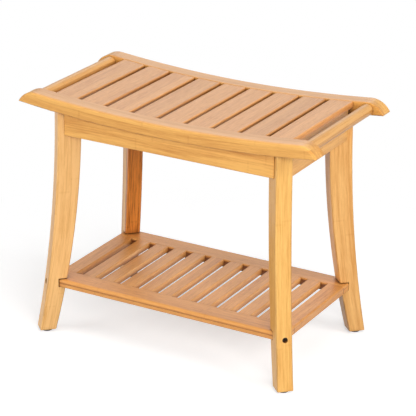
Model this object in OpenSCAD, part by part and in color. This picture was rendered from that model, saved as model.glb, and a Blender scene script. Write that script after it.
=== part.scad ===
// Shower bench: slatted seat on two curved rails, four diagonal sabre legs, slatted lower shelf.
// Millimetres. +X runs along the bench, +Y to its back and +Z up. The origin is on the floor, midway.

/* [Seat] */
// Length over the tips of the seat rails
seat_len = 612; // [600:1:630]
// Depth over both seat rails
seat_depth = 304; // [296:1:312]
// Height of the rails' top at mid-length
seat_height = 459; // [440:1:480]
// Radius of the rails' underside, which sets how far both ends rise
rail_curve = 2650; // [2500:10:2900]
// Width of a seat rail
rail_w = 33; // [32:0.5:36]
// Thickness of a seat rail
rail_t = 25.5; // [25:0.5:28]
// Radius of a rail's drooping end
rail_nose = 41; // [38:1:46]
// Height of the flat left at the tip of a rail
rail_tip = 3; // [2:0.5:5]
// Rounding of a rail's outer top arris
rail_round = 4.5; // [3:0.5:7]
// Gap between two seat slats
slat_gap = 7.5; // [6:0.5:8]
// Thickness of a seat slat
slat_t = 12; // [11:0.5:13]
// How far the slats lie under the rails' top
slat_drop = 1; // [0.5:0.5:3]
// Diameter of a round grip bar
bar_d = 22.5; // [20:0.5:24]
// Distance of a grip bar's axis from the rails' tips
bar_inset = 31; // [29:0.5:33]
// How far a grip bar's axis lies under the middle of the rails
bar_drop = 1.6; // [0:0.1:2.5]
// Finger gap between a grip bar and the nearest slat
finger_gap = 16.8; // [14:0.1:20]

/* [Frame] */
// How far the rails reach past the side aprons
end_overhang = 65.5; // [60:0.5:70]
// How far the rails stand out from the long aprons
side_overhang = 17; // [14:0.5:20]
// Height of the long aprons under the rails, at mid-length
apron_h = 38; // [32:0.5:45]
// Thickness of the aprons
apron_t = 18; // [16:0.5:20]
// Rounding of the aprons' outer arrises
apron_round = 1; // [1:0.5:2.5]
// Distance of a leg's centre from both apron faces, at the top
leg_inset = 19.5; // [19:0.5:21]
// Width of a leg across its outer face
leg_w = 30.4; // [28:0.1:32]
// Outer edge of a leg from its centre, along the diagonal at the top
leg_out = 22.6; // [20:0.1:24]
// Inner edge of a leg from its centre, along the diagonal at the top
leg_in = 22.3; // [20:0.1:24]
// Radius of a leg's outer sweep
leg_sweep_out = 2400; // [2200:20:2800]
// Radius of a leg's inner sweep
leg_sweep_in = 1800; // [1700:20:2100]
// Rounding of a leg's long arrises
leg_round = 2.5; // [1.5:0.5:4]

/* [Shelf] */
// Height of the shelf's top
shelf_z = 107; // [100:1:140]
// How far the legs' outer corners stand past the shelf's ends
shelf_back_x = 3.6; // [2:0.1:5]
// How far the legs' outer corners stand past the shelf's front and back
shelf_back_y = 5.6; // [5:0.1:8]
// Thickness of the shelf's frame
shelf_t = 15.6; // [15:0.1:18]
// Width of the shelf's front and back rails
shelf_rail_w = 41.5; // [38:0.5:44]
// Width of the shelf's end rails
shelf_end_w = 32.7; // [30:0.1:36]
// Width of the slots in the shelf
slot_w = 15.5; // [14:0.5:18]
// Thickness of a shelf slat
shelf_slat_t = 12.5; // [11:0.5:13]
// Rounding of the shelf's front and back arrises
shelf_round = 4.5; // [3:0.5:6]
// Rounding of the shelf's end arrises
shelf_end_round = 3; // [2:0.5:4]
// Wood left in a leg outside its notch
notch_wall = 19.7; // [17:0.1:21]
// Height of the notch in a leg above the shelf's top
notch_play = 1.5; // [0.5:0.1:2]

/* [Fastenings] */
// Diameter of a foot pad
pad_d = 20; // [16:1:24]
// Thickness of a foot pad
pad_t = 5; // [3:0.5:6]
// Diameter of the counterbore for a shelf bolt
bolt_sink_d = 10.4; // [10:0.1:12]
// Depth of the counterbore for a shelf bolt
bolt_sink = 9; // [6:0.5:10]
// Diameter of the bolts' shanks
bolt_d = 6; // [5:0.5:6]
// Diameter of the dowels
dowel_d = 8; // [6:0.5:9]
// Side clearance of a tenon in its mortise
fit_gap = 0.15; // [0.1:0.05:0.3]

/* [Hidden] */
// Seat curve: its axis runs along Y, above the bench
curve_z = seat_height - rail_t + rail_curve;
top_r = rail_curve - rail_t;
slat_r = top_r + slat_drop + slat_t / 2;
rail_out = seat_depth / 2;
rail_in = rail_out - rail_w;
rail_edge = 2;
hair = 0.03;
// The nose touches the top curve at nose_a and meets the underside half a tip outside the cut
tip_a = asin((seat_len / 2 + rail_tip / 2) / rail_curve);
nose_r = top_r + rail_nose;
nose_a = tip_a - acos((rail_curve ^ 2 + nose_r ^ 2 - rail_nose ^ 2) / (2 * rail_curve * nose_r));
nose_sector = 150;
bar_r = top_r + rail_t / 2 + bar_drop;
bar_a = asin((seat_len / 2 - bar_inset) / bar_r);
bar_tenon_d = 14;
bar_tenon_len = 18;
// The slats share the curve between the two finger gaps
seat_slats = 9;
seat_half = top_r * bar_a * PI / 180 - bar_d / 2 - finger_gap;
slat_w = (2 * seat_half - (seat_slats - 1) * slat_gap) / seat_slats;
slat_step = (slat_w + slat_gap) / top_r * 180 / PI;
slat_edge = 3;
tenon_len = 10;
slat_shoulder = 7;
slat_tenon_w = slat_w - 2 * slat_shoulder;
slat_tenon_t = 6;
glue_gap = 0.05;
// Aprons: the boards are cut to the rails and to the outermost slats above them
frame_len = seat_len - 2 * end_overhang;
frame_depth = seat_depth - 2 * side_overhang;
apron_z = seat_height - rail_t - apron_h;
board_h = under_z(frame_len / 2) - apron_z + rail_t;
apron_edge = 1;
// Legs: the sweeps run straight down where they start
leg_x = frame_len / 2 - leg_inset;
leg_y = frame_depth / 2 - leg_inset;
sweep_drop = 17;
sweep_z = seat_height - sweep_drop;
sweep_above = 2;
sweep_below = 12;
sweep_below_in = 17;
stock = 130;
diag = sqrt(2);
// Shelf and its seats in the legs
leg_corner = leg_out_u(shelf_z) / diag;
shelf_len = 2 * (leg_x + leg_corner - shelf_back_x);
shelf_depth = 2 * (leg_y + leg_corner - shelf_back_y);
shelf_z0 = shelf_z - shelf_t;
notch_u = leg_out_u(shelf_z) - notch_wall;
shelf_corner_play = 0.2;
shelf_corner_u = notch_u - shelf_corner_play;
slot_count = 11;
slat_count = slot_count - 1;
slot_pitch = (shelf_len - 2 * shelf_end_w - slot_w) / slat_count;
shelf_slat_w = slot_pitch - slot_w;
shelf_edge = 1;
slot_y = shelf_depth / 2 - shelf_rail_w;
groove_up = 7.5;
groove_w = 1.2;
groove_deep = 1;
shelf_tenon_t = 5.5;
shelf_tenon_in = 5;
end_tenon_in = 9;
// Corner blocks and bolts
block_play = 0.2;
block_u = -leg_in - block_play;
block_t = 22;
block_h = 36;
block_up = 2;
block_z = apron_z + block_up;
corner_bolt_z = block_z + block_h / 2;
corner_bolt_gap = 20;
washer_d = 14;
washer_t = 1.2;
head_d = 10.5;
head_t = 4;
socket_deep = 0.6;
insert_d = 10;
insert_len = 14;
insert_sink = 0.6;
insert_u = -leg_in + insert_sink;
bore_play = 0.1;
bolt_play = 0.4;
// Shelf bolts stand on the middle of the cut corner, a little beside the leg's middle
bolt_v = ((shelf_len / 2 - leg_x) - (shelf_depth / 2 - leg_y)) / diag;
bolt_z = shelf_z - shelf_t / 2;
bolt_seat_u = leg_out_u(bolt_z) - bolt_sink;
shelf_insert_d = 9;
shelf_insert_len = 16;
bolt_head_d = 9.6;
bolt_head_t = 4.5;
// Dowels
dowel_up = 11;
dowel_down = 17;
dowel_y = frame_depth / 2 - apron_t / 2;
dowel_span = 150;
leg_dowel_out_x = 8;
leg_dowel_out_y = 13;
leg_dowel_x = leg_x + leg_dowel_out_x;
leg_dowel_y = leg_y + leg_dowel_out_y;
// Feet
pad_u = (leg_out_u(pad_t) + leg_in_u(pad_t)) / 2;
nail_d = 2.4;
nail_len = 13;
nail_head_d = 6;
nail_head_t = 0.8;
nail_head_z = 0.6;
nail_play = 0.4;
// Colours of the previews
wood = [0.87, 0.69, 0.47];
wood_dark = [0.80, 0.60, 0.38];
wood_pale = [0.91, 0.76, 0.56];
steel = [0.42, 0.38, 0.34];
brass = [0.78, 0.66, 0.36];
pad_grey = [0.20, 0.19, 0.18];

// Outer and inner edge of a leg along the diagonal, at a height
function leg_out_u(z) = leg_out + leg_sweep_out - sqrt(leg_sweep_out ^ 2 - (z - sweep_z) ^ 2);
function leg_in_u(z) = -leg_in + leg_sweep_in - sqrt(leg_sweep_in ^ 2 - (z - sweep_z) ^ 2);
// Height of the rails' underside at a place along the bench
function under_z(x) = curve_z - sqrt(rail_curve ^ 2 - x ^ 2);

// Shared shapes

// What a rounding takes off a section's corner at p; turn 0 points into +x +y, 90 into -x +y, and on
module corner_waste(p, turn, r) {
    translate(p)
        rotate(turn)
            difference() {
                translate([-1, -1])
                    square(r + 1);
                translate([r, r])
                    circle(r, $fn = 48);
            }
}

// Carries a shape drawn flat in X and Z onto the seat curve; local +Z points to the curve's axis
module on_curve(a, r) {
    translate([0, 0, curve_z])
        rotate([0, -a, 0])
            translate([0, 0, -r])
                children();
}

// Stands the shape on the diagonal of a leg, the back right one if not told: x outwards, z up
module on_diagonal(sx = 1, sy = 1) {
    translate([sx * leg_x, sy * leg_y, 0])
        rotate([0, 0, atan2(sy, sx)])
            children();
}

// Cylinder along a diagonal from u0 to u1, drawn in that diagonal's own frame
module diagonal_rod(u0, u1, v, z, d) {
    translate([u0, v, z])
        rotate([0, 90, 0])
            cylinder(h = u1 - u0, d = d, $fn = 40);
}

// The same on the back right diagonal
module along_diagonal(u0, u1, v, z, d) {
    on_diagonal()
        diagonal_rod(u0, u1, v, z, d);
}

// Copies the back right corner's pieces to all four corners
module at_corners() {
    for (x = [0, 1], y = [0, 1])
        mirror([x, 0, 0])
            mirror([0, y, 0])
                children();
}

// Seat rails: laminated planks, bent on one curve, with drooping noses

// Section of a rail in the curve's frame: x from the axis, y from the bench's middle to its face
module rail_section() {
    difference() {
        translate([top_r, rail_in])
            square([rail_t, rail_w]);
        corner_waste([top_r, rail_in], 0, rail_edge);
        corner_waste([rail_curve, rail_in], 90, rail_edge);
        corner_waste([rail_curve, rail_out], 180, rail_edge);
        corner_waste([top_r, rail_out], 270, rail_round);
    }
}

// What lies outside a rail's nose and its rounded rims, at the front rail's right end. It stands off
// the rail's own faces by a hair, so that the nose starts in a clean crossing and not in a graze.
module nose_waste() {
    translate([nose_r * sin(nose_a), 0, curve_z - nose_r * cos(nose_a)])
        rotate([90, 0, 0])
            rotate([0, 0, 90 + nose_a - nose_sector])
                rotate_extrude(angle = nose_sector, $fn = 216)
                    union() {
                        translate([rail_nose + hair, rail_in - 1])
                            square([1.5 * rail_nose, rail_w + 2]);
                        corner_waste([rail_nose + hair, rail_in - hair], 90, rail_edge);
                        corner_waste([rail_nose + hair, rail_out + hair], 180, rail_round);
                    }
}

module rail_blank() {
    difference() {
        translate([0, 0, curve_z])
            rotate([90, 0, 0])
                rotate([0, 0, 270 - tip_a - 1])
                    rotate_extrude(angle = 2 * tip_a + 2, $fn = 900)
                        rail_section();
        for (s = [0, 1])
            mirror([s, 0, 0])
                translate([seat_len / 2, -seat_depth, seat_height - 2 * rail_nose])
                    cube([2 * rail_nose, seat_depth, 4 * rail_nose]);
        nose_waste();
        mirror([1, 0, 0])
            nose_waste();
    }
}

// Mortises for nine slats, bores for two grip bars, holes for the dowels
module front_rail() {
    color(wood_pale)
        difference() {
            rail_blank();
            for (i = [1:seat_slats])
                on_curve(slat_a(i), slat_r)
                    cube([slat_tenon_w + 2 * fit_gap,
                          2 * (rail_in + tenon_len + fit_gap),
                          slat_tenon_t + 2 * fit_gap], center = true);
            for (s = [-1, 1])
                on_curve(s * bar_a, bar_r)
                    rotate([90, 0, 0])
                        cylinder(h = 2 * (rail_in + bar_tenon_len + fit_gap),
                                 d = bar_tenon_d + 2 * fit_gap, center = true, $fn = 48);
            mirror([0, 1, 0])
                rail_dowel_set(bore_play);
        }
}

module back_rail() {
    mirror([0, 1, 0])
        front_rail();
}

// Seat slats: flat boards set square to the curve, tenoned into both rails

// Place of a slat on the curve, slats counted from the left
function slat_a(i) = (i - (seat_slats + 1) / 2) * slat_step;

module seat_slat(i) {
    color(i % 2 == 0 ? wood : wood_pale)
        on_curve(slat_a(i), slat_r)
            union() {
                rotate([90, 0, 0])
                    linear_extrude(height = 2 * (rail_in - glue_gap), center = true)
                        board_section(slat_w, slat_t, slat_edge);
                cube([slat_tenon_w, 2 * (rail_in + tenon_len), slat_tenon_t], center = true);
            }
}

// Board section with four rounded arrises
module board_section(w, t, r) {
    difference() {
        square([w, t], center = true);
        corner_waste([-w / 2, -t / 2], 0, r);
        corner_waste([w / 2, -t / 2], 90, r);
        corner_waste([w / 2, t / 2], 180, r);
        corner_waste([-w / 2, t / 2], 270, r);
    }
}

// Grip bars: turned rods with a thinner tenon at each end

module grip_bar(s) {
    color(wood_dark)
        on_curve(s * bar_a, bar_r)
            rotate([90, 0, 0])
                union() {
                    cylinder(h = 2 * rail_in, d = bar_d, center = true, $fn = 72);
                    cylinder(h = 2 * (rail_in + bar_tenon_len), d = bar_tenon_d,
                             center = true, $fn = 48);
                }
}

// Aprons: boards mitred at 45 degrees onto the legs' broad faces

// Plan of an apron with its outer face on y = f; half is the length of that face to the leg
module apron_plan(f, half) {
    pull = apron_round * (1 + diag);
    side = apron_round / diag;
    difference() {
        polygon([[-half, f], [half, f], [half - apron_t, f - apron_t], [apron_t - half, f - apron_t]]);
        for (s = [0, 1])
            mirror([s, 0])
                translate([half - pull, f])
                    difference() {
                        polygon([[0, 1], [0, 0], [side, -apron_round - side],
                                 [side + 1, -apron_round - side - 1], [pull + 3, 1]]);
                        translate([0, -apron_round])
                            circle(apron_round, $fn = 48);
                    }
    }
}

// Everything above the rails' underside
module above_rails() {
    translate([0, 0, curve_z])
        rotate([90, 0, 0])
            cylinder(h = 2 * seat_depth, r = rail_curve, center = true, $fn = 900);
}

// Apron standing on its lower edge, with both lower arrises rounded
module apron_board(f, half) {
    intersection() {
        translate([0, 0, apron_z])
            linear_extrude(height = board_h)
                apron_plan(f, half);
        rotate([90, 0, 90])
            linear_extrude(height = 2 * half + 2, center = true)
                difference() {
                    translate([f - apron_t, apron_z])
                        square([apron_t, board_h]);
                    corner_waste([f - apron_t, apron_z], 0, apron_edge);
                    corner_waste([f, apron_z], 90, apron_round);
                }
    }
}

// Half-length of an apron's outer face, from the leg's broad face less the glue line
function apron_half(centre) = centre + leg_inset - (leg_w / 2 + glue_gap) * diag;

module back_apron() {
    color(wood)
        difference() {
            apron_board(frame_depth / 2, apron_half(leg_x));
            above_rails();
            rail_dowel_set(bore_play);
        }
}

module front_apron() {
    mirror([0, 1, 0])
        back_apron();
}

// The side aprons reach up to the outermost slats
module right_apron() {
    color(wood_dark)
        difference() {
            rotate([0, 0, -90])
                apron_board(frame_len / 2, apron_half(leg_y));
            on_curve(slat_a(seat_slats), slat_r)
                translate([-2 * slat_w, -rail_out, -slat_t / 2])
                    cube([4 * slat_w, seat_depth, 2 * board_h]);
        }
}

module left_apron() {
    mirror([1, 0, 0])
        right_apron();
}

// Legs: swept planks on the diagonals, notched for the shelf

// The plank between its outer sweep and its inner sweep
module leg_blank() {
    intersection() {
        translate([leg_out + leg_sweep_out, 0, sweep_z])
            rotate([90, 0, 0])
                rotate([0, 0, 180 - sweep_above])
                    rotate_extrude(angle = sweep_above + sweep_below, $fn = 900)
                        difference() {
                            translate([leg_sweep_out, -leg_w / 2])
                                square([stock, leg_w]);
                            corner_waste([leg_sweep_out, -leg_w / 2], 0, leg_round);
                            corner_waste([leg_sweep_out, leg_w / 2], 270, leg_round);
                        }
        translate([leg_sweep_in - leg_in, 0, sweep_z])
            rotate([90, 0, 0])
                rotate([0, 0, 180 - sweep_above])
                    rotate_extrude(angle = sweep_above + sweep_below_in, $fn = 900)
                        difference() {
                            translate([leg_sweep_in - stock, -leg_w / 2])
                                square([stock, leg_w]);
                            corner_waste([leg_sweep_in, -leg_w / 2], 90, leg_round);
                            corner_waste([leg_sweep_in, leg_w / 2], 180, leg_round);
                        }
        translate([-stock, -leg_w, pad_t])
            cube([2 * stock, 2 * leg_w, seat_height - pad_t]);
    }
}

// Leg of the corner to which the signs point. The shelf bolt's bore lies to the side of the leg's
// middle that is nearer the bench's end.
module leg(sx, sy) {
    v = -sx * sy * bolt_v;
    color(wood_pale)
        difference() {
            on_diagonal(sx, sy)
                difference() {
                    leg_blank();
                    translate([-stock, -leg_w, shelf_z0])
                        cube([stock + notch_u, 2 * leg_w, shelf_t + notch_play]);
                    translate([pad_u, 0, 0])
                        cylinder(h = nail_head_z + nail_len + nail_play, d = nail_d + bore_play,
                                 $fn = 24);
                    diagonal_rod(bolt_seat_u, bolt_seat_u + 2 * bolt_sink, v, bolt_z, bolt_sink_d);
                    diagonal_rod(0, bolt_seat_u + 1, v, bolt_z, bolt_d + bolt_play);
                    for (s = [-1, 1])
                        diagonal_rod(-2 * leg_in, insert_u + insert_len + bore_play, 0,
                                     corner_bolt_z + s * corner_bolt_gap / 2, insert_d + bore_play);
                }
            above_rails();
            dowel_at(sx * leg_dowel_x, sy * leg_dowel_y, bore_play);
        }
}

module leg_back_right() {
    leg(1, 1);
}

module leg_back_left() {
    leg(-1, 1);
}

module leg_front_right() {
    leg(1, -1);
}

module leg_front_left() {
    leg(-1, -1);
}

// Corner blocks: they close the corner between two aprons behind each leg

module corner_block() {
    reach = (leg_inset - apron_t) * diag - glue_gap;
    color(wood_dark)
        difference() {
            on_diagonal()
                translate([0, 0, block_z])
                    linear_extrude(height = block_h)
                        polygon([[block_u, reach - block_u],
                                 [block_u - block_t, reach - block_u + block_t],
                                 [block_u - block_t, block_u - block_t - reach],
                                 [block_u, block_u - reach]]);
            for (s = [-1, 1])
                along_diagonal(block_u - block_t - 1, block_u + 1, 0,
                               corner_bolt_z + s * corner_bolt_gap / 2, bolt_d + bolt_play);
        }
}

module block_back_right() {
    corner_block();
}

module block_back_left() {
    mirror([1, 0, 0])
        corner_block();
}

module block_front_right() {
    mirror([0, 1, 0])
        corner_block();
}

module block_front_left() {
    mirror([1, 0, 0])
        mirror([0, 1, 0])
            corner_block();
}

// Shelf: two rails with mitred corners, two end rails and ten thinner slats, flush on top

// Outline of the whole shelf with its rounded arrises and its grooved front and back
module shelf_blank() {
    intersection() {
        rotate([90, 0, 90])
            linear_extrude(height = shelf_len + 2, center = true)
                difference() {
                    translate([-shelf_depth / 2, shelf_z0])
                        square([shelf_depth, shelf_t]);
                    corner_waste([shelf_depth / 2, shelf_z], 180, shelf_round);
                    corner_waste([-shelf_depth / 2, shelf_z], 270, shelf_round);
                    corner_waste([-shelf_depth / 2, shelf_z0], 0, shelf_edge);
                    corner_waste([shelf_depth / 2, shelf_z0], 90, shelf_edge);
                    for (s = [0, 1])
                        mirror([s, 0])
                            translate([shelf_depth / 2, shelf_z0 + groove_up])
                                polygon([[hair, -groove_w / 2], [hair, groove_w / 2], [-groove_deep, 0]]);
                }
        rotate([90, 0, 0])
            linear_extrude(height = shelf_depth + 2, center = true)
                difference() {
                    translate([-shelf_len / 2, shelf_z0])
                        square([shelf_len, shelf_t]);
                    corner_waste([shelf_len / 2, shelf_z], 180, shelf_end_round);
                    corner_waste([-shelf_len / 2, shelf_z], 270, shelf_end_round);
                    corner_waste([-shelf_len / 2, shelf_z0], 0, shelf_edge);
                    corner_waste([shelf_len / 2, shelf_z0], 90, shelf_edge);
                }
    }
}

// Tenon or mortise at both ends of a cross piece on x; g is the clearance
module shelf_tenon(x, w, g) {
    translate([x, 0, shelf_z - shelf_slat_t / 2])
        cube([w + 2 * g, 2 * (slot_y + tenon_len + g), shelf_tenon_t + 2 * g], center = true);
}

// Middle of a shelf slat along X, slats counted from the left
function shelf_slat_x(i) = (i - (slat_count + 1) / 2) * slot_pitch;
function shelf_end_x() = (shelf_len - shelf_end_w) / 2;

module shelf_back_rail() {
    color(wood)
        difference() {
            intersection() {
                shelf_blank();
                translate([-shelf_len, slot_y, 0])
                    cube([2 * shelf_len, shelf_rail_w + 1, shelf_z + 1]);
            }
            for (s = [0, 1])
                mirror([s, 0, 0]) {
                    on_diagonal()
                        translate([shelf_corner_u, -2 * shelf_rail_w, 0])
                            cube([2 * shelf_rail_w, 4 * shelf_rail_w, 2 * shelf_z]);
                    along_diagonal(shelf_corner_u - shelf_insert_len - bore_play, shelf_corner_u + 1,
                                   -bolt_v, bolt_z, shelf_insert_d + bore_play);
                    shelf_tenon(shelf_end_x(), shelf_end_w - end_tenon_in, fit_gap);
                }
            for (i = [1:slat_count])
                shelf_tenon(shelf_slat_x(i), shelf_slat_w - 2 * shelf_tenon_in, fit_gap);
        }
}

module shelf_front_rail() {
    mirror([0, 1, 0])
        shelf_back_rail();
}

module shelf_right_rail() {
    color(wood_dark)
        union() {
            intersection() {
                shelf_blank();
                rotate([90, 0, 0])
                    linear_extrude(height = 2 * slot_y, center = true)
                        difference() {
                            translate([shelf_len / 2 - shelf_end_w, 0])
                                square([shelf_end_w + 1, shelf_z + 1]);
                            corner_waste([shelf_len / 2 - shelf_end_w, shelf_z], 270, shelf_edge);
                        }
            }
            shelf_tenon(shelf_end_x(), shelf_end_w - end_tenon_in, 0);
        }
}

module shelf_left_rail() {
    mirror([1, 0, 0])
        shelf_right_rail();
}

module shelf_slat(i) {
    color(i % 2 == 0 ? wood : wood_pale)
        union() {
            translate([shelf_slat_x(i), 0, shelf_z - shelf_slat_t / 2])
                rotate([90, 0, 0])
                    linear_extrude(height = 2 * slot_y, center = true)
                        board_section(shelf_slat_w, shelf_slat_t, shelf_edge);
            shelf_tenon(shelf_slat_x(i), shelf_slat_w - 2 * shelf_tenon_in, 0);
        }
}

// Feet and fastenings

module foot_pad() {
    color(pad_grey)
        on_diagonal()
            translate([pad_u, 0, 0])
                difference() {
                    cylinder(h = pad_t, d = pad_d, $fn = 60);
                    translate([0, 0, -1])
                        cylinder(h = pad_t + 2, d = nail_d + bore_play, $fn = 24);
                    translate([0, 0, -1])
                        cylinder(h = 1 + nail_head_z + nail_head_t, d = nail_head_d + nail_play,
                                 $fn = 36);
                }
}

module foot_pad_back_right() {
    foot_pad();
}

module foot_pad_back_left() {
    mirror([1, 0, 0])
        foot_pad();
}

module foot_pad_front_right() {
    mirror([0, 1, 0])
        foot_pad();
}

module foot_pad_front_left() {
    mirror([1, 0, 0])
        mirror([0, 1, 0])
            foot_pad();
}

module pad_nails() {
    color(steel)
        at_corners()
            on_diagonal()
                translate([pad_u, 0, nail_head_z])
                    union() {
                        cylinder(h = nail_head_t, d = nail_head_d, $fn = 36);
                        cylinder(h = nail_len, d = nail_d, $fn = 24);
                    }
}

// Bolt with a round head and a hexagon socket, its head outside u0, its tip at u1
module diagonal_bolt(u0, u1, v, z, cap_d, cap_h, dir) {
    on_diagonal()
        translate([u0, v, z])
            rotate([0, 90 * dir, 0])
                difference() {
                    union() {
                        cylinder(h = abs(u1 - u0), d = bolt_d, $fn = 36);
                        translate([0, 0, -cap_h])
                            cylinder(h = cap_h, d = cap_d, $fn = 48);
                    }
                    translate([0, 0, -cap_h - 1])
                        cylinder(h = 1 + cap_h * socket_deep, d = cap_d / 2, $fn = 6);
                }
}

module corner_bolts() {
    seat = block_u - block_t - washer_t;
    color(steel)
        at_corners()
            for (s = [-1, 1])
                diagonal_bolt(seat, insert_u + insert_len - 1, 0,
                              corner_bolt_z + s * corner_bolt_gap / 2, head_d, head_t, 1);
}

module corner_washers() {
    color(steel)
        at_corners()
            for (s = [-1, 1])
                difference() {
                    along_diagonal(block_u - block_t - washer_t, block_u - block_t, 0,
                                   corner_bolt_z + s * corner_bolt_gap / 2, washer_d);
                    along_diagonal(block_u - block_t - 2 * washer_t, block_u, 0,
                                   corner_bolt_z + s * corner_bolt_gap / 2, bolt_d + bolt_play);
                }
}

module corner_inserts() {
    color(brass)
        at_corners()
            for (s = [-1, 1])
                difference() {
                    along_diagonal(insert_u, insert_u + insert_len, 0,
                                   corner_bolt_z + s * corner_bolt_gap / 2, insert_d);
                    along_diagonal(insert_u - 1, insert_u + insert_len + 1, 0,
                                   corner_bolt_z + s * corner_bolt_gap / 2, bolt_d + bore_play);
                }
}

module shelf_bolts() {
    color(steel)
        at_corners()
            diagonal_bolt(bolt_seat_u, shelf_corner_u - shelf_insert_len + 2, -bolt_v, bolt_z,
                          bolt_head_d, bolt_head_t, -1);
}

module shelf_inserts() {
    color(brass)
        at_corners()
            difference() {
                along_diagonal(shelf_corner_u - shelf_insert_len, shelf_corner_u, -bolt_v, bolt_z,
                               shelf_insert_d);
                along_diagonal(shelf_corner_u - shelf_insert_len - 1, shelf_corner_u + 1, -bolt_v,
                               bolt_z, bolt_d + bore_play);
            }
}

// Dowel, or its hole when g is the play, on the rail's underside at x and y
module dowel_at(x, y, g) {
    translate([x, y, under_z(x) - dowel_down - 2 * g])
        cylinder(h = dowel_up + dowel_down + 4 * g, d = dowel_d + g, $fn = 36);
}

// Three dowels between the back apron and its rail, and one on each back leg
module rail_dowel_set(g) {
    for (i = [-1:1])
        dowel_at(i * dowel_span, dowel_y, g);
    for (s = [-1, 1])
        dowel_at(s * leg_dowel_x, leg_dowel_y, g);
}

module rail_dowels() {
    color(wood_dark)
        for (y = [0, 1])
            mirror([0, y, 0])
                rail_dowel_set(0);
}

front_rail();
back_rail();
grip_bar(-1);  // left_grip_bar
grip_bar(1);  // right_grip_bar
seat_slat(1);  // seat_slat_1
seat_slat(2);  // seat_slat_2
seat_slat(3);  // seat_slat_3
seat_slat(4);  // seat_slat_4
seat_slat(5);  // seat_slat_5
seat_slat(6);  // seat_slat_6
seat_slat(7);  // seat_slat_7
seat_slat(8);  // seat_slat_8
seat_slat(9);  // seat_slat_9
front_apron();
back_apron();
left_apron();
right_apron();
leg_front_left();
leg_front_right();
leg_back_left();
leg_back_right();
block_front_left();
block_front_right();
block_back_left();
block_back_right();
shelf_front_rail();
shelf_back_rail();
shelf_left_rail();
shelf_right_rail();
shelf_slat(1);  // shelf_slat_1
shelf_slat(2);  // shelf_slat_2
shelf_slat(3);  // shelf_slat_3
shelf_slat(4);  // shelf_slat_4
shelf_slat(5);  // shelf_slat_5
shelf_slat(6);  // shelf_slat_6
shelf_slat(7);  // shelf_slat_7
shelf_slat(8);  // shelf_slat_8
shelf_slat(9);  // shelf_slat_9
shelf_slat(10);  // shelf_slat_10
foot_pad_front_left();
foot_pad_front_right();
foot_pad_back_left();
foot_pad_back_right();
corner_bolts();
corner_washers();
corner_inserts();
shelf_bolts();
shelf_inserts();
rail_dowels();
pad_nails();
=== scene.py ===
import math
import bpy
from mathutils import Matrix, Vector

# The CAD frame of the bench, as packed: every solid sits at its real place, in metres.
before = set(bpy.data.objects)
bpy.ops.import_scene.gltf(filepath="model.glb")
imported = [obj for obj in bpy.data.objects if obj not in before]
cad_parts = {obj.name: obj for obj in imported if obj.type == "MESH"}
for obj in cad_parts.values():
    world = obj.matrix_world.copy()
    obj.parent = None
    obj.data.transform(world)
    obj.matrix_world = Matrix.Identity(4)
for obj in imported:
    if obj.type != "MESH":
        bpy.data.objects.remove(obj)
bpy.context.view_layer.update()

# The photographer stood to the right of the bench's front, well above its seat, with a long lens.
# Azimuth counts from straight in front, elevation from the floor, and the picture leans slightly.
view_azimuth = math.radians(29.179)
view_elevation = math.radians(21.689)
view_tilt = math.radians(0.719)
aim = Vector((0.5721, -1.0029, 0.7097))
stand_off = 2.4815
focal_px = 1989.65
frame_px = 416
sensor_mm = 36
far_clip = 30
backward = Vector((math.sin(view_azimuth) * math.cos(view_elevation),
                   -math.cos(view_azimuth) * math.cos(view_elevation),
                   math.sin(view_elevation)))
level_right = Vector((math.cos(view_azimuth), math.sin(view_azimuth), 0))
level_up = backward.cross(level_right)
right = level_right * math.cos(view_tilt) + level_up * math.sin(view_tilt)
up = level_up * math.cos(view_tilt) - level_right * math.sin(view_tilt)
place = aim + backward * stand_off
camera_data = bpy.data.cameras.new("product_camera")
camera_data.sensor_width = sensor_mm
camera_data.lens = sensor_mm * focal_px / frame_px
camera_data.clip_end = far_clip
camera = bpy.data.objects.new("product_camera", camera_data)
camera.matrix_world = Matrix(((right.x, up.x, backward.x, place.x),
                              (right.y, up.y, backward.y, place.y),
                              (right.z, up.z, backward.z, place.z),
                              (0, 0, 0, 1)))
bpy.context.collection.objects.link(camera)
bpy.context.scene.camera = camera
bpy.context.scene.view_settings.view_transform = "Standard"

# The studio: a seamless pale floor that shows as white and keeps the bench's soft shadow.
# Its white, like the air's, is only for the camera and for reflections, and adds no light to the bench.
# Six soft boxes stand round the bench, and only the one behind it shows in the lacquer.
floor_reach = 12
floor_seen = (0.68, 0.68, 0.68, 1)
floor_answer = (0.22, 0.22, 0.22, 1)
floor_glow = 0.53
shadow_reach = (0.45, 0.80)
white = (1, 1, 1, 1)
sky_light = 0.04
lamp_aim = Vector((0, 0, 0.25))


class Field:
    """A number or colour that a node gives; Python's operators on it add Math nodes."""

    def __init__(self, finish, socket):
        self.finish = finish
        self.socket = socket

    def math(self, operation, *others):
        return self.finish.math(operation, self, *others)

    def __add__(self, other):
        return self.math("ADD", other)

    def __radd__(self, other):
        return self.finish.math("ADD", other, self)

    def __sub__(self, other):
        return self.math("SUBTRACT", other)

    def __rsub__(self, other):
        return self.finish.math("SUBTRACT", other, self)

    def __mul__(self, other):
        return self.math("MULTIPLY", other)

    def __rmul__(self, other):
        return self.finish.math("MULTIPLY", other, self)

    def __truediv__(self, other):
        return self.math("DIVIDE", other)

    def __rtruediv__(self, other):
        return self.finish.math("DIVIDE", other, self)


class Node:
    """One node of a finish."""

    def __init__(self, finish, made):
        self.finish = finish
        self.made = made

    def out(self, key):
        return Field(self.finish, self.made.outputs[key])


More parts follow.
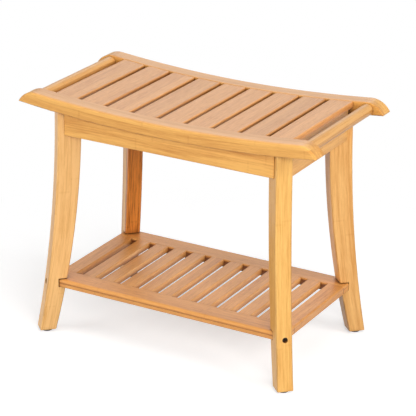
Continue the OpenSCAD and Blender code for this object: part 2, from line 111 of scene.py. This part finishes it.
class Finish:
    """The node tree of a material or of the studio's air, built from empty."""

    def __init__(self, owner):
        owner.use_nodes = True
        self.owner = owner
        self.tree = owner.node_tree
        self.tree.nodes.clear()

    def node(self, kind, settings, sockets):
        """Adds a node: its type, its settings, then the values or links of its sockets."""
        made = self.tree.nodes.new(kind)
        for key, value in settings.items():
            setattr(made, key, value)
        for key, value in sockets.items():
            if isinstance(value, Field):
                self.tree.links.new(value.socket, made.inputs[key])
            else:
                made.inputs[key].default_value = value
        return Node(self, made)

    def math(self, operation, *values):
        """One Math node on fields and plain numbers."""
        return self.node("ShaderNodeMath", {"operation": operation}, dict(enumerate(values))).out(0)

    def place(self):
        """The three coordinates of a point, as the bench stands."""
        where = self.node("ShaderNodeTexCoord", {}, {}).out("Object")
        split = self.node("ShaderNodeSeparateXYZ", {}, {0: where})
        return [split.out(axis) for axis in "XYZ"]

    def noise(self, x, y, z, detail, roughness):
        """Noise whose grains are one unit across in each of the three given coordinates."""
        at = self.node("ShaderNodeCombineXYZ", {}, {0: x, 1: y, 2: z})
        return self.node("ShaderNodeTexNoise", {}, {"Vector": at.out(0), "Scale": 1.0, "Detail": detail,
                                                   "Roughness": roughness}).out("Fac")

    def band(self, value, low, high):
        """0 at low, 1 at high, and a smooth step between."""
        return self.node("ShaderNodeMapRange", {"interpolation_type": "SMOOTHSTEP"},
                         {"Value": value, "From Min": low, "From Max": high}).out(0)

    def mix(self, factor, first, second):
        """Mixes two colours."""
        return self.node("ShaderNodeMix", {"data_type": "RGBA"}, {0: factor, 6: first, 7: second}).out(2)

    def pictured(self):
        """1 for what the camera sees, straight or in the lacquer, and 0 for light on the bench."""
        path = self.node("ShaderNodeLightPath", {}, {})
        return path.out("Is Camera Ray").math("MAXIMUM", path.out("Is Glossy Ray"))

    def close(self, shader):
        """Joins the shader to the material's output."""
        self.node("ShaderNodeOutputMaterial", {}, {"Surface": shader})
        return self.owner


bpy.ops.object.select_all(action="DESELECT")
bpy.ops.mesh.primitive_plane_add(size=2 * floor_reach, location=(0, 0, 0))
floor = bpy.context.object
floor.name = "studio_floor"
stage = Finish(bpy.data.materials.new("studio_white"))
shaded = stage.node("ShaderNodeAddShader", {}, {
    0: stage.node("ShaderNodeBsdfDiffuse", {}, {"Color": floor_seen}).out(0),
    1: stage.node("ShaderNodeEmission", {}, {"Color": white, "Strength": floor_glow}).out(0)})
plain_white = stage.node("ShaderNodeEmission", {}, {"Color": white, "Strength": 1.0})
east, north, _ = stage.place()
away = stage.band((east * east + north * north).math("SQRT"), *shadow_reach)
seen = stage.node("ShaderNodeMixShader", {}, {0: away, 1: shaded.out(0), 2: plain_white.out(0)})
answer = stage.node("ShaderNodeBsdfDiffuse", {}, {"Color": floor_answer})
floor.data.materials.append(stage.close(stage.node(
    "ShaderNodeMixShader", {}, {0: stage.pictured(), 1: answer.out(0), 2: seen.out(0)}).out(0)))

air = Finish(bpy.data.worlds.new("studio_air"))
bpy.context.scene.world = air.owner
brightness = air.node("ShaderNodeMapRange", {},
                      {"Value": air.pictured(), "To Min": sky_light, "To Max": 1.0})
background = air.node("ShaderNodeBackground", {}, {"Strength": brightness.out("Result")})
air.node("ShaderNodeOutputWorld", {}, {"Surface": background.out(0)})


def soft_box(name, azimuth, elevation, distance, size, power, sheen=False):
    """Square lamp aimed at the bench; its angles are in degrees and count like the camera's.

    sheen says whether the lacquer mirrors it.
    """
    turn, lift = math.radians(azimuth), math.radians(elevation)
    toward = Vector((math.sin(turn) * math.cos(lift), -math.cos(turn) * math.cos(lift), math.sin(lift)))
    data = bpy.data.lights.new(name, "AREA")
    data.size = size
    data.energy = power
    lamp = bpy.data.objects.new(name, data)
    lamp.location = lamp_aim + toward * distance
    lamp.rotation_euler = toward.to_track_quat("Z", "Y").to_euler()
    bpy.context.collection.objects.link(lamp)
    lamp.visible_camera = False
    lamp.visible_glossy = sheen


soft_box("right_light", azimuth=87, elevation=28, distance=3.0, size=1.4, power=41)
soft_box("front_right_light", azimuth=45, elevation=20, distance=3.0, size=1.4, power=54)
soft_box("front_light", azimuth=5, elevation=15, distance=3.0, size=1.6, power=19)
soft_box("left_light", azimuth=-50, elevation=15, distance=3.0, size=1.6, power=40)
soft_box("back_light", azimuth=205, elevation=38, distance=3.0, size=1.8, power=14, sheen=True)
soft_box("top_light", azimuth=20, elevation=78, distance=2.6, size=2.0, power=19)

# Seat rails: two planks of laminated bamboo, bent on one long curve, with drooping noses.
# The lacquer is satin. Strips of cane lie side by side across the plank, and their fibres,
# pores and knuckles follow the bend, so the figure is drawn in the curve's own frame.
rail_curve_axis = 3.0835
rail_curve_radius = 2.650
rail_seed = 1
rail_strip = (0.0078, 0.030)
rail_contrast = 0.85
rail_seam_depth = 0.30
rail_canes = ((0.810, 0.428, 0.108), (0.560, 0.236, 0.045))
# Painted sheen: the rails' top face gets paler, bluer canes than their sides, for the white room mirrored
# in the lacquer.
top_sheen_radius = 2.6245
top_sheen_depth = (0.0022, 0.0008)
top_sheen_canes = ((0.78, 0.405, 0.150), (0.63, 0.295, 0.095))

# Bamboo, as every wooden piece has it. A fibre kind is its frequency along the grain and across it,
# in cycles per metre, then its detail and roughness. The figure says how strong the four kinds show.
fibre_kinds = ((3.2, 55, 1.0, 0.5), (8, 250, 2.0, 0.55), (26, 560, 3.0, 0.6), (80, 1500, 2.0, 0.6))
pore_kind = (150, 1900, 1.0, 0.5)
pore_band = (0.62, 0.74)
pore_depth = 0.22
plank_figure = (0.9, 1.3, 1.1, 0.8)
plank_depth = 0.36
plank_contrast = 0.5
strip_shift = (0.37, 0.23, 1.37)
strip_start = 13
wander_kind = (5, 14, 1.0, 0.5)
wander_width = 0.006
knuckle_spacing = 0.23
knuckle_band = (0.012, 0.002)
knuckle_depth = 0.18
seam_band = (0.42, 0.5)
seam_depth = 0.10
line_depth = 0.9
edge_samples = 4
# The arrises show paler cane: partly wear, partly painted highlight.
arris_highlight_and_wear_radius = 0.0022
arris_round = 0.0010
arris_band = (0.995, 0.80)
arris_highlight_and_wear_share = 0.22
arris_highlight_and_wear_cane = (0.74, 0.42, 0.18)
# Painted shade in hollows and joints: where ambient occlusion finds close surfaces, the colour is mixed
# toward a dark brown.
gap_samples = 6
gap_reach = 0.018
gap_band = (0.80, 0.30)
gap_shade_share = 0.92
gap_shade_brown = (0.20, 0.060, 0.012)
relief_strength = 0.25
relief_height = 0.00025
relief_fibres = 0.5
relief_pores = 0.9
lacquer_index = 1.60
lacquer_gloss = 0.40
gloss_swing = (0.16, 0.08, 0.22)


def along_seat_curve(finish):
    """Grain frame of a bent rail: arc length, depth, and distance from the curve's axis."""
    x, y, z = finish.place()
    drop = rail_curve_axis - z
    radius = (drop * drop + x * x).math("SQRT")
    return x.math("ARCTAN2", drop) * rail_curve_radius, y, radius


def top_painted_sheen(finish):
    """Mask of the rail's top face, which gets paler, bluer canes: a painted sheen of the white room in the
    satin lacquer.
    """
    _, _, radius = along_seat_curve(finish)
    return finish.band(radius - top_sheen_radius, *top_sheen_depth)


def rgba(colour, tone=1.0):
    """A colour at a given tone, with its alpha."""
    return (*[part * tone for part in colour], 1)


def fibres(finish, kind, run, side, deep, start):
    """Noise drawn out along the grain, for one kind of fibre."""
    along, cross, detail, roughness = kind
    return finish.noise(run * along + start, side * cross, deep * cross, detail, roughness)


def bamboo(name, grain, strips, seed, canes=rail_canes, tone=1.0, contrast=plank_contrast,
           figure=plank_figure, seams=seam_depth, line=None, layer=None, gap_shade=gap_shade_share,
           reach=gap_reach, arris=arris_round):
    """Laminated bamboo under satin lacquer.

    grain gives the piece's grain frame, and strips a strip's width across the grain and through it.
    canes are the light and the dark cane, and contrast is how much the strips differ.
    line is a dark line, and layer a place with canes of its own.
    gap_shade is how far painted shade darkens hollows no wider than reach toward brown, and arris how far
    the edges are rounded.
    """
    finish = Finish(bpy.data.materials.new(name))
    run, across, through = grain(finish)
    # Each strip of cane has its own tone, and its figure starts somewhere else
    lane_at = across / strips[0] + seed * strip_shift[0]
    ply_at = through / strips[1] + seed * strip_shift[1]
    cell = finish.node("ShaderNodeCombineXYZ", {}, {0: lane_at.math("FLOOR"), 1: ply_at.math("FLOOR"),
                                                   2: seed * strip_shift[2]})
    pick = finish.node("ShaderNodeTexWhiteNoise", {"noise_dimensions": "3D"}, {"Vector": cell.out(0)})
    chance = finish.node("ShaderNodeSeparateColor", {}, {0: pick.out("Color")}).out("Red")
    start = chance * strip_start + seed
    # The fibres wander a little along the plank
    wander = (fibres(finish, wander_kind, run, across, through, seed) - 0.5) * wander_width
    side, deep = across + wander, through + wander
    broad, coarse, medium, fine = [fibres(finish, kind, run, side, deep, start) for kind in fibre_kinds]
    pores = finish.band(fibres(finish, pore_kind, run, side, deep, start), *pore_band)
    # Knuckles: one faint dark ring on each strip, about a hand's width apart
    knuckle_at = ((run + start) / knuckle_spacing).math("FRACT")
    knuckle = finish.band((knuckle_at - 0.5).math("ABSOLUTE"), *knuckle_band)
    seam = finish.band((lane_at.math("FRACT") - 0.5).math("ABSOLUTE"), *seam_band)
    depth = (pick.out("Value") - 0.5) * contrast + seam * seams
    for fibre, strength in zip((broad, coarse, medium, fine), figure):
        depth = depth + (fibre - 0.5) * strength
    depth = depth + pores * pore_depth + knuckle * knuckle_depth + plank_depth
    if line is not None:
        depth = depth + line(finish) * line_depth
    colour = finish.mix(depth, *[rgba(cane, tone) for cane in canes])
    if layer is not None:
        where, layer_canes = layer
        colour = finish.mix(where(finish), colour, finish.mix(depth, *[rgba(cane) for cane in layer_canes]))
    # Paler edges: partly rubbed lacquer, partly a painted highlight where the rounded arris catches the
    # light
    rounded, eased = [
        finish.node("ShaderNodeBevel", {"samples": edge_samples}, {"Radius": radius}).out("Normal")
        for radius in (arris_highlight_and_wear_radius, arris)]
    flat = finish.node("ShaderNodeNewGeometry", {}, {}).out("True Normal")
    meet = finish.node("ShaderNodeVectorMath", {"operation": "DOT_PRODUCT"},
                       {0: rounded, 1: flat}).out("Value")
    edge = finish.band(meet, *arris_band)
    colour = finish.mix(edge * arris_highlight_and_wear_share, colour, rgba(arris_highlight_and_wear_cane, tone))
    # Painted shade: deep in narrow hollows and along the joints, where light falls off, the colour is mixed
    # toward brown
    open_air = finish.node("ShaderNodeAmbientOcclusion", {"samples": gap_samples},
                           {"Distance": reach}).out("AO")
    colour = finish.mix(finish.band(open_air, *gap_band) * gap_shade, colour, rgba(gap_shade_brown))
    relief = finish.node("ShaderNodeBump", {}, {
        "Strength": relief_strength, "Distance": relief_height, "Normal": eased,
        "Height": medium * relief_fibres + fine * relief_fibres - pores * relief_pores})
    gloss = lacquer_gloss + (medium - 0.5) * gloss_swing[0] + pores * gloss_swing[1] + edge * gloss_swing[2]
    wood = finish.node("ShaderNodeBsdfPrincipled", {}, {
        "Base Color": colour, "Roughness": gloss, "IOR": lacquer_index, "Normal": relief.out("Normal")})
    return finish.close(wood.out(0))


def dress(node, material):
    """Gives a CAD node its finish on all its slots."""
    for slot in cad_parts[node].material_slots:
        slot.material = material


for number, rail in enumerate(("front_rail", "back_rail")):
    dress(rail, bamboo(f"{rail}_bamboo", along_seat_curve, rail_strip, rail_seed + number,
                       contrast=rail_contrast, seams=rail_seam_depth, layer=(top_painted_sheen, top_sheen_canes)))

# Grip bars: turned from laminated bamboo, with a thinner tenon glued into each rail.
# Their grain runs from front to back, and the turning cuts through the strips.
bar_seed = 5
bar_strip = (0.0095, 0.0095)
bar_contrast = 0.6
bar_tones = {"left_grip_bar": 0.97, "right_grip_bar": 0.90}
bar_canes = ((0.800, 0.425, 0.135), (0.560, 0.236, 0.045))


def front_to_back(finish):
    """Grain frame of a flat piece that runs from front to back."""
    x, y, z = finish.place()
    return y, x, z


for number, (bar, tone) in enumerate(bar_tones.items()):
    dress(bar, bamboo(f"{bar}_bamboo", front_to_back, bar_strip, bar_seed + number, canes=bar_canes,
                      tone=tone, contrast=bar_contrast))

# Seat slats: nine flat bamboo boards with eased edges, tenoned into both rails.
# Each board is cut from its own plank, so the boards differ a little in tone.
slat_seed = 10
slat_strip = (0.012, 0.014)
slat_contrast = 0.3
slat_tones = (0.95, 0.99, 1.00, 0.93, 1.00, 1.00, 1.01, 0.91, 1.01)
slat_figure = (0.5, 0.6, 1.5, 1.6)
slat_canes = ((0.785, 0.380, 0.122), (0.550, 0.222, 0.061))
for number, tone in enumerate(slat_tones, start=1):
    slat = f"seat_slat_{number}"
    dress(slat, bamboo(f"{slat}_bamboo", front_to_back, slat_strip, slat_seed + number, canes=slat_canes,
                       tone=tone, contrast=slat_contrast, figure=slat_figure))

# Aprons: boards on edge under the seat, mitred onto the legs' flanks.
# The long ones are cut to the rails' curve, and the grain runs along each board.
long_apron_seed = 30
end_apron_seed = 34
apron_strip = (0.021, 0.018)
# The aprons get only part of the painted shade in their hollows.
apron_gap_shade = 0.35
long_apron_tone = 1.04
end_apron_tone = 1.05
long_apron_figure = (1.6, 1.9, 1.3, 0.8)


def left_to_right(finish):
    """Grain frame of a piece that runs along the bench."""
    x, y, z = finish.place()
    return x, z, y


def on_edge(finish):
    """Grain frame of a board on edge that runs from front to back."""
    x, y, z = finish.place()
    return y, z, x


for number, apron in enumerate(("front_apron", "back_apron")):
    dress(apron, bamboo(f"{apron}_bamboo", left_to_right, apron_strip, long_apron_seed + number,
                        tone=long_apron_tone, figure=long_apron_figure, gap_shade=apron_gap_shade))
for number, apron in enumerate(("left_apron", "right_apron")):
    dress(apron, bamboo(f"{apron}_bamboo", on_edge, apron_strip, end_apron_seed + number,
                        tone=end_apron_tone, gap_shade=apron_gap_shade))

# Legs: swept planks on the diagonals, each glued up from two halves side by side.
# The fibres follow the sweep, so the figure is drawn from the leg's own middle line.
# The back left leg's inner side gets much darker canes: painted shade, for the shadow under the seat.
leg_seed = 40
leg_centre = (0.221, 0.1155)
leg_bend_from = 0.442
leg_bend = 0.243
leg_strip = (0.0152, 0.0220)
leg_corners = {"leg_front_left": (-1, -1), "leg_front_right": (1, -1),
               "leg_back_left": (-1, 1), "leg_back_right": (1, 1)}
leg_canes = {"leg_front_left": ((0.90, 0.52, 0.195), (0.68, 0.33, 0.080)),
             "leg_front_right": ((0.84, 0.478, 0.136), (0.64, 0.305, 0.065)),
             "leg_back_left": ((0.82, 0.45, 0.130), (0.60, 0.27, 0.060)),
             "leg_back_right": ((0.83, 0.465, 0.155), (0.61, 0.280, 0.068))}
leg_figure = (1.0, 1.9, 1.5, 0.9)
# Painted shade: the back left leg's inner side is darkened.
shaded_leg = "leg_back_left"
inner_shade_depth = (-0.008, -0.011)
inner_shade_canes = ((0.71, 0.25, 0.044), (0.25, 0.07, 0.012))
inner_figure = (1.8, 3.0, 2.0, 0.9)


def down_leg(side_x, side_y):
    """Grain frame of the leg on one corner: height, across its face, and through it."""
    def grain(finish):
        x, y, z = finish.place()
        out = ((x * side_x - leg_centre[0]) + (y * side_y - leg_centre[1])) * math.sqrt(0.5)
        face = ((x * side_x - leg_centre[0]) - (y * side_y - leg_centre[1])) * math.sqrt(0.5)
        fall = leg_bend_from - z
        return z, face, out - fall * fall * leg_bend
    return grain


def inner_painted_shade(finish):
    """Mask of the painted shade on the inner side of the shaded leg."""
    _, _, through = down_leg(*leg_corners[shaded_leg])(finish)
    return finish.band(through, *inner_shade_depth)


for number, (leg, corner) in enumerate(leg_corners.items()):
    is_shaded = leg == shaded_leg
    dress(leg, bamboo(f"{leg}_bamboo", down_leg(*corner), leg_strip, leg_seed + number,
                      canes=leg_canes[leg], figure=inner_figure if is_shaded else leg_figure,
                      layer=(inner_painted_shade, inner_shade_canes) if is_shaded else None))

# Corner blocks: short blocks of bamboo behind the legs, hidden by the aprons.
# They tie each pair of aprons and take the corner bolts.
corners = ("front_left", "front_right", "back_left", "back_right")
block_seed = 50
block_strip = (0.011, 0.011)
for number, corner in enumerate(corners):
    block = f"block_{corner}"
    dress(block, bamboo(f"{block}_bamboo", left_to_right, block_strip, block_seed + number))

# Shelf: front and back rails with their corners let into the legs, end rails and ten slats, flush on top.
# The front and back rails carry a dark line along their faces, a little above mid-height.
# The arrises are sanded rounder than the seat's, and the rails' inner faces at the slots' ends carry
# painted shade.
long_rail_seed = 60
end_rail_seed = 64
shelf_slat_seed = 70
shelf_slats = 10
long_rail_strip = (0.0078, 0.0140)
end_rail_strip = (0.0109, 0.0158)
shelf_slat_strip = (0.0132, 0.0130)
shelf_arris = 0.0030
shelf_reach = 0.012
face_line_height = 0.1005
face_line_band = (0.00144, 0.00045)
# Painted highlight: the upper part of the shelf slats' long sides gets paler canes.
side_facing = (0.6, 0.9)
side_height = (0.0975, 0.1040)
side_highlight_canes = ((0.90, 0.49, 0.185), (0.68, 0.30, 0.090))
# Painted shade at the slots' ends: dark canes on the rails' inner faces.
slot_end_shade_from = (0.1035, 0.1020)
slot_end_shade_height = (0.1050, 0.1030)
slot_end_shade_canes = ((0.34, 0.13, 0.035), (0.16, 0.05, 0.012))
shelf_look = {"canes": ((0.780, 0.360, 0.093), (0.545, 0.205, 0.046)), "contrast": slat_contrast,
              "figure": slat_figure, "arris": shelf_arris}


def slat_side_painted_highlight(finish):
    """The upper part of a slat's long sides, given paler canes than its top: a painted highlight, as if lit
    and sheened like the top.
    """
    _, _, z = finish.place()
    facing = finish.node("ShaderNodeNewGeometry", {}, {}).out("True Normal")
    sideways = finish.node("ShaderNodeSeparateXYZ", {}, {0: facing}).out("X").math("ABSOLUTE")
    return finish.band(sideways, *side_facing) * finish.band(z, *side_height)


def slot_end_painted_shade(finish):
    """The rails' inner faces at the ends of the slots, under the rounded arris: darkened as painted shade.
    """
    _, y, z = finish.place()
    return finish.band(y.math("ABSOLUTE"), *slot_end_shade_from) * finish.band(z, *slot_end_shade_height)


def shelf_face_line(finish):
    """A dark line along the face of a shelf rail, a little above mid-height."""
    _, _, z = finish.place()
    return finish.band((z - face_line_height).math("ABSOLUTE"), *face_line_band)


for number, rail in enumerate(("shelf_front_rail", "shelf_back_rail")):
    dress(rail, bamboo(f"{rail}_bamboo", left_to_right, long_rail_strip, long_rail_seed + number,
                       line=shelf_face_line, layer=(slot_end_painted_shade, slot_end_shade_canes), **shelf_look))
for number, rail in enumerate(("shelf_left_rail", "shelf_right_rail")):
    dress(rail, bamboo(f"{rail}_bamboo", front_to_back, end_rail_strip, end_rail_seed + number,
                       **shelf_look))
for number in range(1, shelf_slats + 1):
    slat = f"shelf_slat_{number}"
    dress(slat, bamboo(f"{slat}_bamboo", front_to_back, shelf_slat_strip, shelf_slat_seed + number,
                       layer=(slat_side_painted_highlight, side_highlight_canes), reach=shelf_reach, **shelf_look))

# Foot pads: dark plastic glides, moulded with a fine grain.
# Each is nailed under the foot of its leg.
speck_noise = (2.0, 0.5)
speck_tones = (0.8, 1.2)
speck_bump = {"Strength": 0.2, "Distance": 0.0001}
speck_gloss = 0.25


def speckled(name, colour, roughness, metallic, grain):
    """Plastic, metal or plain wood with fine specks in its colour, gloss and skin, grain to the metre."""
    finish = Finish(bpy.data.materials.new(name))
    x, y, z = finish.place()
    speck = finish.noise(x * grain, y * grain, z * grain, *speck_noise)
    shade = finish.mix(speck, *[rgba(colour, tone) for tone in speck_tones])
    skin = finish.node("ShaderNodeBump", {}, {**speck_bump, "Height": speck})
    body = finish.node("ShaderNodeBsdfPrincipled", {}, {
        "Base Color": shade, "Metallic": metallic, "Roughness": roughness + (speck - 0.5) * speck_gloss,
        "Normal": skin.out("Normal")})
    return finish.close(body.out(0))


pad_plastic = speckled("pad_plastic", (0.045, 0.042, 0.040), roughness=0.6, metallic=0.0, grain=1400)
for corner in corners:
    dress(f"foot_pad_{corner}", pad_plastic)

# Fastenings: plated bolts, washers and nails of dark steel, brass inserts and beech dowels.
# The bolts run through the blocks and the legs into their inserts, and the dowels are glued.
dark_steel = speckled("dark_steel", (0.10, 0.075, 0.055), roughness=0.45, metallic=1.0, grain=900)
insert_brass = speckled("insert_brass", (0.56, 0.43, 0.16), roughness=0.4, metallic=1.0, grain=900)
dowel_wood = speckled("dowel_wood", (0.66, 0.45, 0.24), roughness=0.6, metallic=0.0, grain=600)
fastenings = {"corner_bolts": dark_steel, "corner_washers": dark_steel, "shelf_bolts": dark_steel,
              "pad_nails": dark_steel, "corner_inserts": insert_brass, "shelf_inserts": insert_brass,
              "rail_dowels": dowel_wood}
for fastening, material in fastenings.items():
    dress(fastening, material)
